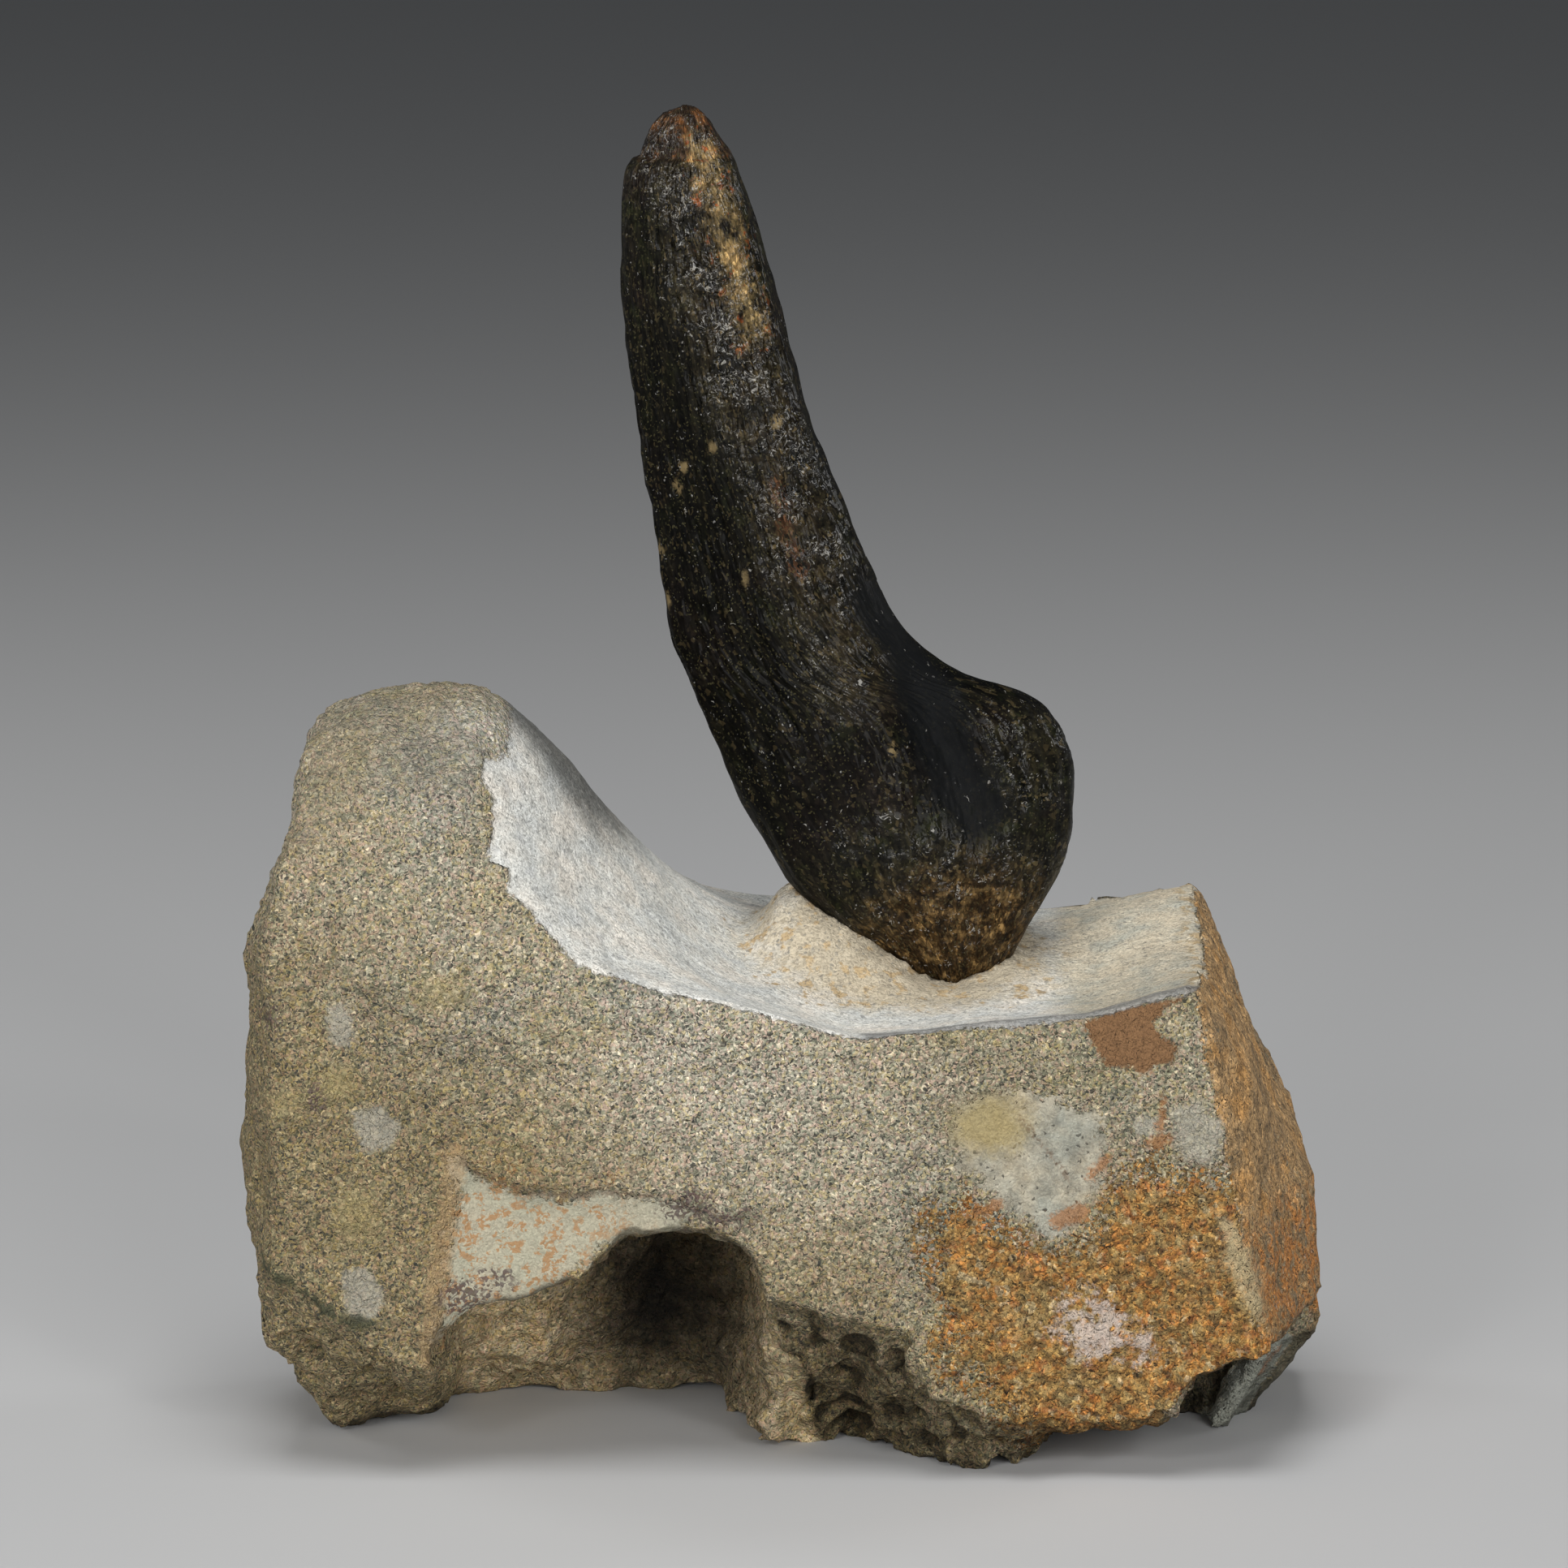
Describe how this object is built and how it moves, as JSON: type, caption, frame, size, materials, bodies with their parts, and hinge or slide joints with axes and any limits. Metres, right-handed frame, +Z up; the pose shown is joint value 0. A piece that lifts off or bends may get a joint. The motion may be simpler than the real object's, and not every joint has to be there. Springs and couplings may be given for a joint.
{
  "type": "fossil vertebra in matrix",
  "caption": "Dark glossy blade-like process of a dinosaur vertebra standing up out of the scooped top of a pale, broken block of sandstone matrix that it rests on.",
  "frame": {"origin": "centre of the bounding box, on the surface that the block stands on", "axes": "+Z up along the bone; -Y the front, as pictured; +X to the right of that view"},
  "size_m": [0.1654, 0.0788, 0.2029],
  "materials": {
    "fossil_bone": "mineralised bone, brown-black, consolidated to a gloss",
    "sandstone": "matt granular sandstone, broken except in the whitened, ground-out scoop"
  },
  "bodies": {
    "root": {"fossil_bone": "fossil_bone", "sandstone_matrix": "sandstone"}
  },
  "joints": []
}
